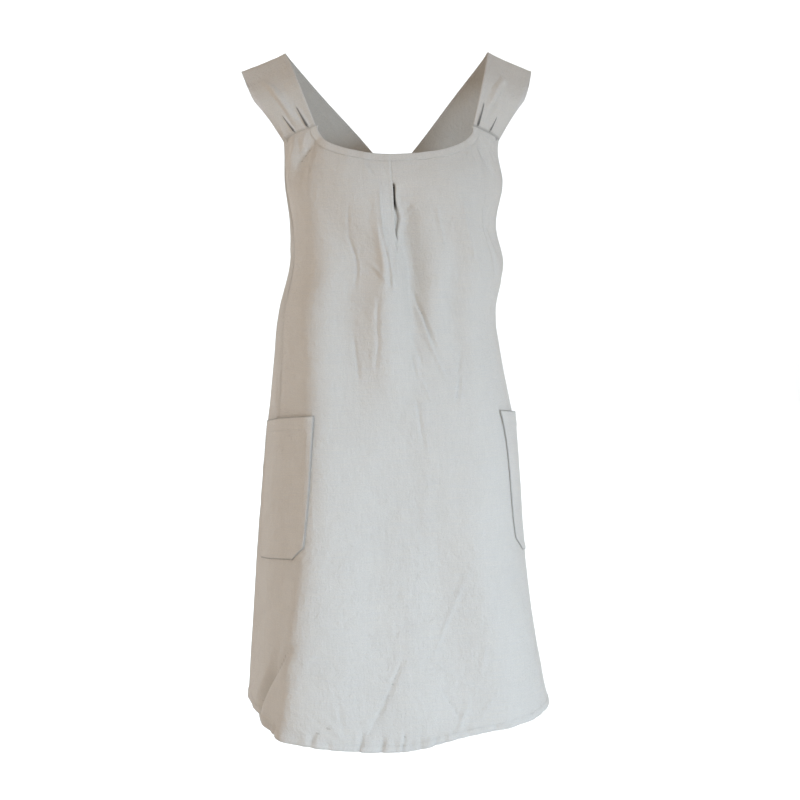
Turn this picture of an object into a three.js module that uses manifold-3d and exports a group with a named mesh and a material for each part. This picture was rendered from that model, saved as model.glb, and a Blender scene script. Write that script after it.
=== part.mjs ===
// Cross back apron of heavy linen, in the form it has when worn.
// One piece of cloth makes the bib, skirt and back wings, and wraps round from the front to an open back.
// Two gathered straps go over the shoulders, cross behind and end on the opposite back wing.
// Millimetres, +Z up. The wearer faces -Y, and left and right are as seen from in front.
// The origin lies midway between the shoulders, at the height of the straps' ridge.
import * as THREE from "three";
import Module from "manifold-3d";

// Overall form
const LENGTH = 930; // shoulder ridge to the lowest point of the hem
const HALF_BREADTH = 208; // hem, centre to side
const HALF_DEPTH = 150; // hem, centre to front

// Cloth
const WALL = 1.2;
const HEM_WALL = 2.4; // the hem is turned up twice
const HEM_WIDTH = 11;
const HEM_RISE = 32; // how much higher the hem is at the sides than in front
const HEM_RISE_ANGLES = [20, 105]; // where the rise starts and ends, degrees on either side
const HEM_LIFT = 17; // how much more the hem is pulled up on the +X side
const HEM_LIFT_ANGLES = [-15, 35, 80, 160]; // where the lift starts, is full, starts to fade and is gone
const GAP = 0.35; // between one piece and the next
const SEAM_ROOM = 0.6; // more room where a thick strap meets the edge at a slant

// Upper edge, from the centre front round to the back corner of a wing
const NECK_DROP = 131; // ridge to the lowest point of the neckline
const INNER_DROP = 92; // ridge to the strap seam's neck end
const OUTER_DROP = 111; // ridge to the strap seam's arm end
const BACK_DROP = 350; // ridge to the back corner
const NECK_ANGLE = 56; // degrees from the centre front
const ARM_ANGLE = 80;
const WING_ANGLE = 121; // strap seam on the wing, arm end
const BACK_ANGLE = 143;
const HEM_BACK_ANGLE = 165; // where the back edges reach the hem
const NECK_RADIUS = 0.7; // of the cloth along the neckline, as a share of HALF_BREADTH
const NECK_BAND_WIDTH = 9;
const NECK_BAND_WALL = 1.1;
const NECK_BAND_STRETCH = 2.2; // most that the band widens, measured down, where the neckline is steep

// Centre pleat, sewn shut below the neckline and open further down
const SLIT_TOP_DROP = 168;
const SLIT_LENGTH = 80;
const SLIT_DEPTH = 9;
const SLIT_HALF_WIDTH = 4.2;

// Straps
const STRAP_WIDTH = 66;
const STRAP_WALL = 1.6; // two layers
const PLEAT_LENGTH = 42;
const PLEAT_DEPTH = 4;
const PLEAT_HALF_WIDTH = 4.2;
const SHOULDER_LIFT = 4; // how much higher the right strap's ridge rides
const CROSSING_CLEARANCE = 2.4;
const CROSSING_REACH = 0.4; // how far from the crossing the straps part, as a share of HALF_BREADTH
const SEAM_FADE = 0.2; // share of a strap along which its curved seam fades out

// Pockets
const POCKET_WIDTH = 150;
const POCKET_HEIGHT = 195;
const POCKET_CORNER = 17; // cut off the lower corners
const POCKET_DROP = 488; // ridge to the mouth
const POCKET_ANGLE = 83; // centre of a pocket, from the centre front
const POCKET_SLOPE = 9; // degrees by which the mouth rises towards the front
const POCKET_LEAN = -2; // degrees by which the sides lean towards the front on their way down
const POCKET_WALL = 1.2;
const CUTTER_REACH = [0.6, 1.5]; // depth of the cutting block, as shares of the cloth's radius

// Fold sizes that the fold tables share out
const FOLD_WIDTH = 22;
const FOLD_HEIGHT = 7;
const BUST_HEIGHT = 17;
const BUST_WIDTH = 62;

// Mesh steps
const COLUMN_STEP = 15.5;
const SLIT_COLUMNS = [0.45, 1, 2.1]; // columns beside the centre front, as shares of SLIT_HALF_WIDTH
const BODY_ROWS = 30;
const ROW_CROWDING = 0.25; // how much closer the rows lie at the top
const STRAP_ROWS = 30;

const DEGREE = Math.PI / 180;
const wasm = await Module();
wasm.setup();

// Horizontal sections of the cloth. drop is a share of LENGTH, half and shift of HALF_BREADTH,
// front and back of HALF_DEPTH. square is the superellipse's power, turn is in degrees.
// taper is the share by which the breadth narrows from the middle to the front, on a curve of TAPER_POWER.
const TAPER_POWER = 1.5;
const SECTIONS = [
  { drop: 0.09, half: 0.76, front: 0.54, back: 0.62, square: 2.3, shift: 0, turn: 0, taper: 0 },
  { drop: 0.13, half: 0.71, front: 0.64, back: 0.64, square: 2.4, shift: -0.01, turn: 0, taper: 0 },
  { drop: 0.18, half: 0.72, front: 0.73, back: 0.64, square: 2.7, shift: 0.01, turn: -1, taper: 0.09 },
  { drop: 0.24, half: 0.68, front: 0.76, back: 0.6, square: 3.2, shift: 0.01, turn: 1, taper: 0.15 },
  { drop: 0.3, half: 0.71, front: 0.72, back: 0.57, square: 3.5, shift: 0.04, turn: 3, taper: 0.16 },
  { drop: 0.37, half: 0.72, front: 0.76, back: 0.58, square: 3.9, shift: -0.02, turn: 5, taper: 0.19 },
  { drop: 0.45, half: 0.76, front: 0.8, back: 0.68, square: 4.3, shift: -0.01, turn: 7, taper: 0.21 },
  { drop: 0.55, half: 0.82, front: 0.83, back: 0.82, square: 4.4, shift: 0.02, turn: 8, taper: 0.21 },
  { drop: 0.7, half: 0.87, front: 0.88, back: 0.92, square: 4.4, shift: 0.03, turn: 8, taper: 0.23 },
  { drop: 0.85, half: 0.92, front: 0.94, back: 0.98, square: 4.2, shift: 0.04, turn: 9, taper: 0.12 },
  { drop: 1, half: 1.02, front: 1, back: 1, square: 3.5, shift: 0.06, turn: 9, taper: 0.05 },
];

// Armhole edge from the strap seam to the back corner: angle in degrees, fall as a share of the way down.
const ARMHOLE = [
  { angle: ARM_ANGLE, fall: 0 },
  { angle: 81, fall: 0.13 },
  { angle: 83.5, fall: 0.27 },
  { angle: 88, fall: 0.4 },
  { angle: 96, fall: 0.53 },
  { angle: 107, fall: 0.65 },
  { angle: WING_ANGLE, fall: 0.81 },
  { angle: BACK_ANGLE, fall: 1 },
];

// Folds of the body. A fold runs from angle at, at drop from, to angle to, at drop until.
// width is a share of FOLD_WIDTH and height of FOLD_HEIGHT, below zero for a valley.
const FOLDS = [
  { at: -45, to: -40, from: 0.15, until: 0.54, width: 1.3, height: -1.7 },
  { at: -12, to: -15, from: 0.2, until: 0.52, width: 1.3, height: 1.5 },
  { at: 6, to: 12, from: 0.18, until: 0.43, width: 0.7, height: -2.2 },
  { at: 36, to: 40, from: 0.25, until: 0.46, width: 0.8, height: -1.3 },
  { at: -11, to: -16, from: 0.18, until: 0.33, width: 0.5, height: 1 },
  { at: -14, to: -11, from: 0.2, until: 0.34, width: 0.4, height: -0.5 },
  { at: 36, to: 48, from: 0.18, until: 0.31, width: 0.6, height: 1.3 },
  { at: 54, to: 80, from: 0.2, until: 0.33, width: 0.6, height: -0.7 },
  { at: -54, to: -64, from: 0.1, until: 0.2, width: 0.5, height: -0.9 },
  { at: -64, to: -74, from: 0.11, until: 0.19, width: 0.4, height: 0.7 },
  { at: 55, to: 51, from: 0.1, until: 0.18, width: 0.4, height: 0.5 },
  { at: 60, to: 66, from: 0.1, until: 0.18, width: 0.4, height: 0.5 },
  { at: 25, to: 25, from: 0.2, until: 0.45, width: 0.7, height: 0.3 },
  { at: 10, to: 10, from: 0.42, until: 0.75, width: 0.8, height: 0.3 },
  { at: 23, to: 23, from: 0.42, until: 0.75, width: 0.8, height: 0.3 },
  { at: 46, to: 46, from: 0.3, until: 0.6, width: 0.8, height: 0.3 },
  { at: -52, to: -62, from: 0.14, until: 1.15, width: 1.15, height: 2.4 },
  { at: -25, to: -33, from: 0.5, until: 1.1, width: 2.4, height: -1.8 },
  { at: 12, to: 18, from: 0.5, until: 1.05, width: 2.3, height: -1.3 },
  { at: 38, to: 44, from: 0.6, until: 1.05, width: 1.1, height: 0.5 },
  { at: -66, to: -92, from: 0.83, until: 1, width: 0.5, height: -1.1 },
  { at: 112, to: 118, from: 0.45, until: 1.1, width: 1.2, height: 1 },
  { at: 134, to: 142, from: 0.4, until: 1.1, width: 1.2, height: -0.9 },
  { at: -112, to: -118, from: 0.5, until: 1.1, width: 1.2, height: 0.9 },
  { at: -136, to: -144, from: 0.42, until: 1.1, width: 1.2, height: -0.9 },
];

// Bust: each dome's angle in degrees, its drop as a share of LENGTH and its height as a share of BUST_HEIGHT.
const DOMES = [
  { angle: -34, drop: 0.185, height: 1.0 },
  { angle: 34, drop: 0.185, height: 1.0 },
];

// Stations of a strap's centre line between its two seams. out is a share of HALF_BREADTH and below zero once
// the strap has crossed, fore of HALF_DEPTH, drop of LENGTH, middle is the pair's own shift as a share of
// HALF_BREADTH. tilt is the slope of the strap's width in degrees, swing how much of it points to the back.
const STRAP_STATIONS = [
  { out: 0.716, fore: -0.35, drop: 0.053, middle: -0.024, tilt: 24, swing: -0.3, width: 0.9 },
  { out: 0.79, fore: -0.1, drop: 0.018, middle: -0.024, tilt: 23, swing: -0.12, width: 1 },
  { out: 0.817, fore: 0.07, drop: 0.004, middle: -0.024, tilt: 23, swing: 0.04, width: 1 },
  { out: 0.775, fore: 0.24, drop: 0.017, middle: -0.01, tilt: 28, swing: 0.1, width: 1 },
  { out: 0.577, fore: 0.49, drop: 0.071, middle: 0.013, tilt: 38, swing: 0.08, width: 1 },
  { out: 0.327, fore: 0.63, drop: 0.137, middle: 0.043, tilt: 41, swing: 0.02, width: 1 },
  { out: 0.07, fore: 0.66, drop: 0.206, middle: 0.048, tilt: 37, swing: 0, width: 1 },
  { out: -0.155, fore: 0.64, drop: 0.27, middle: 0.04, tilt: 32, swing: 0, width: 1 },
];

// Pleats in a strap's front end: across is measured from the arm side.
const STRAP_PLEATS = [
  { across: 0.34, reach: 0.85, depth: 0.9 },
  { across: 0.75, reach: 1.0, depth: 1.0 },
];
const STRAP_COLUMNS = [0, 0.14, 0.28, 0.34, 0.4, 0.55, 0.69, 0.75, 0.81, 0.92, 1];

const LINEN = { color: 0xcfc8bd, roughness: 0.92, metalness: 0 };
const LINEN_BAND = { color: 0xd2ccc2, roughness: 0.92, metalness: 0 };

const { clamp, lerp, smoothstep } = THREE.MathUtils;

// The columns of a table at a value of its key column, on a smooth curve through the rows.
function rowAt(table, key, value) {
  let i = 0;
  while (i < table.length - 2 && value > table[i + 1][key]) i++;
  const before = table[Math.max(i - 1, 0)];
  const start = table[i];
  const end = table[i + 1];
  const after = table[Math.min(i + 2, table.length - 1)];
  const span = end[key] - start[key];
  const t = clamp((value - start[key]) / span, 0, 1);
  const row = {};
  for (const name of Object.keys(start)) {
    const leave = ((end[name] - before[name]) / (end[key] - before[key])) * span;
    const arrive = ((after[name] - start[name]) / (after[key] - start[key])) * span;
    const cubic = 2 * (start[name] - end[name]) + leave + arrive;
    const square = 3 * (end[name] - start[name]) - 2 * leave - arrive;
    row[name] = start[name] + t * (leave + t * (square + t * cubic));
  }
  return row;
}

// Depth below the ridge of the cloth's upper edge.
function upperDrop(degrees) {
  const a = Math.abs(degrees);
  if (a <= NECK_ANGLE) {
    const across = a / NECK_ANGLE;
    return lerp(INNER_DROP, NECK_DROP, Math.sqrt(1 - across * across));
  }
  if (a <= ARM_ANGLE) return lerp(INNER_DROP, OUTER_DROP, (a - NECK_ANGLE) / (ARM_ANGLE - NECK_ANGLE));
  return lerp(OUTER_DROP, BACK_DROP, rowAt(ARMHOLE, "angle", a).fall);
}

function hemDrop(degrees) {
  const rise = HEM_RISE * smoothstep(Math.abs(degrees), ...HEM_RISE_ANGLES);
  const [start, full, fading, gone] = HEM_LIFT_ANGLES;
  const lift = HEM_LIFT * smoothstep(degrees, start, full) * (1 - smoothstep(degrees, fading, gone));
  return LENGTH - rise - lift;
}

// Depth of the neck band's lower edge. The band keeps its width where the neckline is steep.
function bandDrop(degrees) {
  const slope = (upperDrop(degrees + 0.5) - upperDrop(degrees - 0.5)) / (DEGREE * HALF_BREADTH * NECK_RADIUS);
  return upperDrop(degrees) + NECK_BAND_WIDTH * Math.min(Math.hypot(1, slope), NECK_BAND_STRETCH);
}

// How far the folds, the bust and the open pleat move the cloth outwards.
function relief(degrees, down, radius) {
  const drop = down / LENGTH;
  let height = 0;
  for (const fold of FOLDS) {
    const along = (drop - fold.from) / (fold.until - fold.from);
    if (along <= 0 || along >= 1) continue;
    const aside = ((degrees - lerp(fold.at, fold.to, along)) * DEGREE * radius) / (fold.width * FOLD_WIDTH);
    height += fold.height * FOLD_HEIGHT * Math.sin(Math.PI * along) * Math.exp(-aside * aside);
  }
  for (const dome of DOMES) {
    const aside = ((degrees - dome.angle) * DEGREE * radius) / BUST_WIDTH;
    const above = (down - dome.drop * LENGTH) / BUST_WIDTH;
    height += dome.height * BUST_HEIGHT * Math.exp(-aside * aside - above * above);
  }
  const alongSlit = (down - SLIT_TOP_DROP) / SLIT_LENGTH;
  if (alongSlit > 0 && alongSlit < 1) {
    const aside = Math.abs(degrees * DEGREE * radius) / SLIT_HALF_WIDTH;
    height -= SLIT_DEPTH * Math.sin(Math.PI * alongSlit) * clamp(1 - aside, 0, 1);
  }
  return height;
}

// A point of the cloth's middle surface, by its angle from the centre front and its depth below the ridge.
function clothPoint(degrees, down) {
  const section = rowAt(SECTIONS, "drop", down / LENGTH);
  const half = section.half * HALF_BREADTH;
  const angle = degrees * DEGREE;
  const depth = (Math.cos(angle) > 0 ? section.front : section.back) * HALF_DEPTH;
  const power = section.square;
  const sideways = Math.abs(Math.sin(angle) / half) ** power;
  const foreAndAft = Math.abs(Math.cos(angle) / depth) ** power;
  const radius = (sideways + foreAndAft) ** (-1 / power);
  const reach = radius + relief(degrees, down, radius);
  const fore = reach * Math.cos(angle);
  const narrowing = section.taper * Math.max(fore / depth, 0) ** TAPER_POWER;
  const aside = reach * Math.sin(angle) * (1 - narrowing);
  const turn = section.turn * DEGREE;
  return new THREE.Vector3(
    aside * Math.cos(turn) + fore * Math.sin(turn) + section.shift * HALF_BREADTH,
    aside * Math.sin(turn) - fore * Math.cos(turn),
    -down,
  );
}

function clothRadius(degrees, down) {
  const point = clothPoint(degrees, down);
  return Math.hypot(point.x, point.y);
}

// A point just past the cloth's upper edge, where the next piece is sewn on.
function seamPoint(degrees) {
  const down = upperDrop(degrees);
  const edge = clothPoint(degrees, down);
  const up = clothPoint(degrees, down - 2).sub(clothPoint(degrees, down + 2)).normalize();
  return edge.addScaledVector(up, GAP + SEAM_ROOM);
}

// Unit normals of a grid of points. Seen from outside, columns run to the right and rows run down.
function gridNormals(grid) {
  const at = (r, c) => grid[clamp(r, 0, grid.length - 1)][clamp(c, 0, grid[0].length - 1)];
  return grid.map((row, r) =>
    row.map((point, c) => {
      const right = at(r, c + 1).clone().sub(at(r, c - 1));
      const up = at(r - 1, c).clone().sub(at(r + 1, c));
      return right.cross(up).normalize();
    }),
  );
}

// The grid moved outwards.
function layer(grid, offsetOf) {
  const normals = gridNormals(grid);
  return grid.map((row, r) =>
    row.map((point, c) => point.clone().addScaledVector(normals[r][c], offsetOf(r, c))),
  );
}

// Positions and triangles of a closed sheet round a grid of middle points.
function sheetMesh(grid, wallOf) {
  const rows = grid.length;
  const columns = grid[0].length;
  const positions = [];
  for (const side of [1, -1]) {
    const points = layer(grid, (r, c) => (side * wallOf(r, c)) / 2);
    for (const point of points.flat()) positions.push(point.x, point.y, point.z);
  }
  const outer = (r, c) => r * columns + c;
  const inner = (r, c) => rows * columns + r * columns + c;
  const index = [];
  const quad = (a, b, c, d) => index.push(a, b, c, a, c, d);
  for (let r = 0; r + 1 < rows; r++) {
    for (let c = 0; c + 1 < columns; c++) {
      quad(outer(r, c), outer(r + 1, c), outer(r + 1, c + 1), outer(r, c + 1));
      quad(inner(r, c), inner(r, c + 1), inner(r + 1, c + 1), inner(r + 1, c));
    }
  }
  const right = columns - 1;
  const low = rows - 1;
  for (let r = 0; r < low; r++) {
    quad(outer(r, 0), inner(r, 0), inner(r + 1, 0), outer(r + 1, 0));
    quad(outer(r, right), outer(r + 1, right), inner(r + 1, right), inner(r, right));
  }
  for (let c = 0; c < right; c++) {
    quad(outer(0, c), outer(0, c + 1), inner(0, c + 1), inner(0, c));
    quad(outer(low, c), inner(low, c), inner(low, c + 1), outer(low, c + 1));
  }
  return { positions, index };
}

function piece(name, finish, { positions, index }) {
  const geometry = new THREE.BufferGeometry();
  geometry.setAttribute("position", new THREE.Float32BufferAttribute(positions, 3));
  geometry.setIndex(index);
  geometry.computeVertexNormals();
  const mesh = new THREE.Mesh(geometry, new THREE.MeshStandardMaterial(finish));
  mesh.name = name;
  return mesh;
}

// Angles from one to another, evenly spaced along the cloth's upper edge. The first is left out.
function evenAngles(from, to) {
  const probe = 0.1;
  const stops = [];
  let walked = 0;
  for (let a = from; a < to; a += probe) {
    const along = probe * DEGREE * clothRadius(a, upperDrop(a));
    walked += Math.hypot(along, (upperDrop(a + probe) - upperDrop(a)) / 2);
    stops.push({ angle: a + probe, walked });
  }
  const count = Math.max(Math.round(walked / COLUMN_STEP), 1);
  const angles = [];
  for (let i = 1; i < count; i++) {
    angles.push(stops.find((stop) => stop.walked >= (walked * i) / count).angle);
  }
  return [...angles, to];
}

// Angles of the cloth's columns at its upper edge, close together at the pleat.
function columnAngles() {
  const slitRadius = clothRadius(3, SLIT_TOP_DROP + SLIT_LENGTH / 2);
  const pleat = SLIT_COLUMNS.map((share) => (share * SLIT_HALF_WIDTH) / slitRadius / DEGREE);
  const half = [
    ...pleat,
    ...evenAngles(pleat.at(-1), NECK_ANGLE),
    ...evenAngles(NECK_ANGLE, ARM_ANGLE),
    ...evenAngles(ARM_ANGLE, BACK_ANGLE),
  ];
  return [...half.map((a) => -a).reverse(), 0, ...half];
}

// The outer columns fan out towards the hem.
function fannedAngle(top, fall) {
  const spread = (HEM_BACK_ANGLE / BACK_ANGLE - 1) * (top / BACK_ANGLE) ** 2;
  return top * (1 + spread * fall);
}

// Middle surface of the main cloth. The second row follows the neck band, the last but one the hem's seam.
function clothGrid(angles) {
  const grid = [angles.map((top) => clothPoint(top, upperDrop(top)))];
  for (let r = 0; r <= BODY_ROWS; r++) {
    const share = r / BODY_ROWS;
    const fall = share * (1 - ROW_CROWDING + ROW_CROWDING * share);
    grid.push(
      angles.map((top) => {
        const hemTop = hemDrop(fannedAngle(top, 1)) - HEM_WIDTH;
        return clothPoint(fannedAngle(top, fall), lerp(bandDrop(top), hemTop, fall));
      }),
    );
  }
  grid.push(angles.map((top) => clothPoint(fannedAngle(top, 1), hemDrop(fannedAngle(top, 1)))));
  return grid;
}

// A narrow facing along the outside of the front neckline.
function neckBand(angles, grid) {
  const columns = angles.flatMap((angle, c) => (Math.abs(angle) <= NECK_ANGLE ? [c] : []));
  const strip = grid.slice(0, 2).map((row) => columns.map((c) => row[c]));
  const offset = WALL / 2 + GAP + NECK_BAND_WALL / 2;
  return sheetMesh(layer(strip, () => offset), () => NECK_BAND_WALL);
}

// side is -1 for the strap on the left shoulder and 1 for the right.
function strap(side) {
  const neckRail = [seamPoint(side * NECK_ANGLE)];
  const armRail = [seamPoint(side * ARM_ANGLE)];
  for (const row of STRAP_STATIONS) {
    const centre = new THREE.Vector3(
      (row.middle + side * row.out) * HALF_BREADTH,
      row.fore * HALF_DEPTH + side * crossingLift(row.out),
      ridgeLift(side, row.out) - row.drop * LENGTH,
    );
    const tilt = row.tilt * DEGREE;
    const level = Math.sqrt(1 - row.swing * row.swing);
    const width = new THREE.Vector3(-side * Math.cos(tilt) * level, row.swing, Math.sin(tilt) * level);
    const half = (row.width * STRAP_WIDTH) / 2;
    neckRail.push(centre.clone().addScaledVector(width, half));
    armRail.push(centre.clone().addScaledVector(width, -half));
  }
  neckRail.push(seamPoint(-side * WING_ANGLE));
  armRail.push(seamPoint(-side * BACK_ANGLE));
  const neckCurve = new THREE.CatmullRomCurve3(neckRail, false, "centripetal");
  const armCurve = new THREE.CatmullRomCurve3(armRail, false, "centripetal");
  const length = armCurve.getLength();
  const grid = [];
  for (let r = 0; r <= STRAP_ROWS; r++) {
    const t = r / STRAP_ROWS;
    const neckPoint = neckCurve.getPoint(t);
    const armPoint = armCurve.getPoint(t);
    const ahead = armCurve.getTangent(t).cross(neckPoint.clone().sub(armPoint)).normalize();
    const inward = ahead.multiplyScalar(side);
    const row = STRAP_COLUMNS.map((across) => {
      const point = armPoint.clone().lerp(neckPoint, across);
      point.addScaledVector(inward, strapRelief(across, t * length));
      point.addScaledVector(seamBow(side * lerp(ARM_ANGLE, NECK_ANGLE, across), side, across), fade(t));
      return point.addScaledVector(
        seamBow(-side * lerp(BACK_ANGLE, WING_ANGLE, across), -side, across), fade(1 - t));
    });
    grid.push(side < 0 ? row : row.reverse());
  }
  return sheetMesh(grid.reverse(), () => STRAP_WALL);

  // How far the curved seam lies from the straight line between its ends.
  function seamBow(degrees, onSide, across) {
    const front = onSide === side;
    const last = STRAP_STATIONS.length + 1;
    const line = armRail[front ? 0 : last].clone().lerp(neckRail[front ? 0 : last], across);
    return seamPoint(degrees).sub(line);
  }
}

function fade(t) {
  return (1 - smoothstep(t, 0, SEAM_FADE)) ** 2;
}

// How much higher the right strap rides, most at its ridge and nothing behind the crossing.
function ridgeLift(side, out) {
  return side > 0 ? SHOULDER_LIFT * Math.max(out, 0) : 0;
}

// The straps part by this much, fore and aft, where they cross.
function crossingLift(out) {
  const near = Math.exp(-((out / CROSSING_REACH) ** 2));
  return (near * (STRAP_WALL + CROSSING_CLEARANCE)) / 2;
}

// How far the pleats sink into a strap, at a share of its width and a distance from its front seam.
function strapRelief(across, walked) {
  let depth = 0;
  for (const pleat of STRAP_PLEATS) {
    const along = walked / (pleat.reach * PLEAT_LENGTH);
    const aside = Math.abs(across - pleat.across) * (STRAP_WIDTH / PLEAT_HALF_WIDTH);
    depth += pleat.depth * PLEAT_DEPTH * clamp(1 - along, 0, 1) * clamp(1 - aside, 0, 1);
  }
  return depth;
}

// The outline, cut out of a second layer of cloth that lies on the skirt.
function pocket(side, grid) {
  const offset = WALL / 2 + GAP + POCKET_WALL / 2;
  const { positions, index } = sheetMesh(layer(grid, () => offset), () => POCKET_WALL);
  const cloth = new wasm.Manifold(
    new wasm.Mesh({
      numProp: 3,
      vertProperties: new Float32Array(positions),
      triVerts: new Uint32Array(index),
    }),
  );
  const half = POCKET_WIDTH / 2;
  const high = POCKET_HEIGHT / 2;
  const outline = [
    { aside: -half, above: high },
    { aside: half, above: high },
    { aside: half, above: POCKET_CORNER - high },
    { aside: half - POCKET_CORNER, above: -high },
    { aside: POCKET_CORNER - half, above: -high },
    { aside: -half, above: POCKET_CORNER - high },
  ];
  const rise = Math.tan(POCKET_SLOPE * DEGREE);
  const lean = Math.tan(POCKET_LEAN * DEGREE);
  const corners = [];
  for (const { aside, above } of outline) {
    const across = aside + side * above * lean;
    const down = POCKET_DROP + high - above + side * aside * rise;
    const radius = clothRadius(side * POCKET_ANGLE, down);
    const point = clothPoint(side * POCKET_ANGLE + across / radius / DEGREE, down);
    for (const reach of CUTTER_REACH) corners.push([point.x * reach, point.y * reach, point.z]);
  }
  const cut = cloth.intersect(wasm.Manifold.hull(corners)).getMesh();
  return { positions: [...cut.vertProperties], index: [...cut.triVerts] };
}

const angles = columnAngles();
const grid = clothGrid(angles);
const hemRow = grid.length - 2;
const apron = new THREE.Group();
apron.name = "cross_back_apron";
apron.add(piece("body", LINEN, sheetMesh(grid, (r) => (r >= hemRow ? HEM_WALL : WALL))));
apron.add(piece("neck_band", LINEN_BAND, neckBand(angles, grid)));
apron.add(piece("strap_left", LINEN, strap(-1)));
apron.add(piece("strap_right", LINEN, strap(1)));
apron.add(piece("pocket_left", LINEN, pocket(-1, grid)));
apron.add(piece("pocket_right", LINEN, pocket(1, grid)));

export default apron;
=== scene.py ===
"""Cross back apron of washed oatmeal linen, worn form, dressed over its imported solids.

The cloth is the same surface as in the solids: superelliptic sections with folds, here on a finer grid
and with turned hems, crinkles, pleats and stitching. Sizes are in millimetres until a mesh is made.
The wearer faces -Y, and left and right are as seen from in front.
"""
import math

import bpy
import numpy as np
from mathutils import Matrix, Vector


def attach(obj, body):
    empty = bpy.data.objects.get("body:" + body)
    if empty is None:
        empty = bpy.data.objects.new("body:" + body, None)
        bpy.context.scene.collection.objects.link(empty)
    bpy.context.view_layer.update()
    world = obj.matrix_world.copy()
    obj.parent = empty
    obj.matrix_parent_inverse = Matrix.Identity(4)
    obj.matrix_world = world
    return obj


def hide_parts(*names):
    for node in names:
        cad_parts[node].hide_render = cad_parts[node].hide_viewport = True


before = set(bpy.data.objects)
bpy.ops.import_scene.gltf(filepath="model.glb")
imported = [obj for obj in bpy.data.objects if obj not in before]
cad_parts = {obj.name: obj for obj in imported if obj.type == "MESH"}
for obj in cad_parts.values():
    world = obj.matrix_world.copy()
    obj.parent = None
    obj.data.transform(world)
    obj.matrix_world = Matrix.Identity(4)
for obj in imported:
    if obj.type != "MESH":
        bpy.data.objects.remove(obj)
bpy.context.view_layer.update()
MM = 0.001

# Form, the same values as the solids
LENGTH = 930.0
HALF_BREADTH = 208.0
HALF_DEPTH = 150.0
HEM_RISE = 32.0
HEM_RISE_ANGLES = (20, 105)
HEM_LIFT = 17.0
HEM_LIFT_ANGLES = (-15, 35, 80, 160)
NECK_DROP = 131.0
INNER_DROP = 92.0
OUTER_DROP = 111.0
BACK_DROP = 350.0
NECK_ANGLE = 56.0
ARM_ANGLE = 80.0
WING_ANGLE = 121.0
BACK_ANGLE = 143.0
HEM_BACK_ANGLE = 165.0
SLIT_TOP_DROP = 168.0
SLIT_LENGTH = 80.0
SLIT_DEPTH = 9.0
SLIT_HALF_WIDTH = 4.2
SLIT_SHIFT = -9.0
STRAP_WIDTH = 66.0
POCKET_WIDTH = 150.0
POCKET_HEIGHT = 195.0
POCKET_CORNER = 17.0
POCKET_DROP = 488.0
POCKET_ANGLE = 83.0
POCKET_SLOPE = 9.0
POCKET_LEAN = -2.0
FOLD_WIDTH = 22.0
FOLD_HEIGHT = 7.0
BUST_HEIGHT = 17.0
BUST_WIDTH = 62.0
TAPER_POWER = 1.5
SEAM_FADE = 0.2  # share of a strap over which it comes up to its seam
CHEST_RADIUS = 130.0  # rough radius at the top, for creases and gathers along the cloth
RADIUS_GROWTH = 0.05  # its growth per mm of drop
WING_RADIUS = 150.0  # rough radius at the sides, for the armholes' slope
NO_EDGE = 99.0  # distance that stands for no edge nearby

# Cloth
CLOTH = 0.8
HEM_CLOTH = 2.2
STRAP_CLOTH = 1.5
BAND_CLOTH = 0.6
BAND_WIDTH = 9.0
BAND_CROWN = 0.12
BAND_RIPPLE = 0.25
SEWN_GAP = 0.15
HEM_TURN = 10.0
EDGE_TURN = 8.0
BACK_TURN = 13.0
STITCH_INSET = 1.5
WEAR_WIDTH = 2.5
POCKET_HEM = 20.0
CREASE_RADIUS = 165.0
CREASE_STRENGTH = 1.75
CREASE_REBOUND = 0.35  # how far the cloth beside a crease goes the other way, as a share of the crease
REBOUND_WIDTH = 2.2  # in widths of the crease
FRONT_CALM = 0.55  # how much weaker the random creases are in front, where the single ones are listed
SEAM_OVERLAP = 5.0
SEAM_DEPTH = 1.7

# drop, half, front, back, square, shift, turn, taper
SECTIONS = np.array([
    (0.09, 0.76, 0.54, 0.62, 2.3, 0, 0, 0),
    (0.13, 0.71, 0.64, 0.64, 2.4, -0.01, 0, 0),
    (0.18, 0.72, 0.73, 0.64, 2.7, 0.01, -1, 0.09),
    (0.24, 0.68, 0.76, 0.6, 3.2, 0.01, 1, 0.15),
    (0.3, 0.71, 0.72, 0.57, 3.5, 0.04, 3, 0.16),
    (0.37, 0.72, 0.76, 0.58, 3.9, -0.02, 5, 0.19),
    (0.45, 0.76, 0.8, 0.68, 4.3, -0.01, 7, 0.21),
    (0.55, 0.82, 0.83, 0.82, 4.4, 0.02, 8, 0.21),
    (0.7, 0.87, 0.88, 0.92, 4.4, 0.03, 8, 0.23),
    (0.85, 0.92, 0.94, 0.98, 4.2, 0.04, 9, 0.12),
    (1, 1.02, 1, 1, 3.5, 0.06, 9, 0.05),
])

# angle, fall
ARMHOLE = np.array([
    (ARM_ANGLE, 0), (81, 0.13), (83.5, 0.27), (88, 0.4), (96, 0.53), (107, 0.65), (WING_ANGLE, 0.81),
    (BACK_ANGLE, 1),
])

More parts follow.
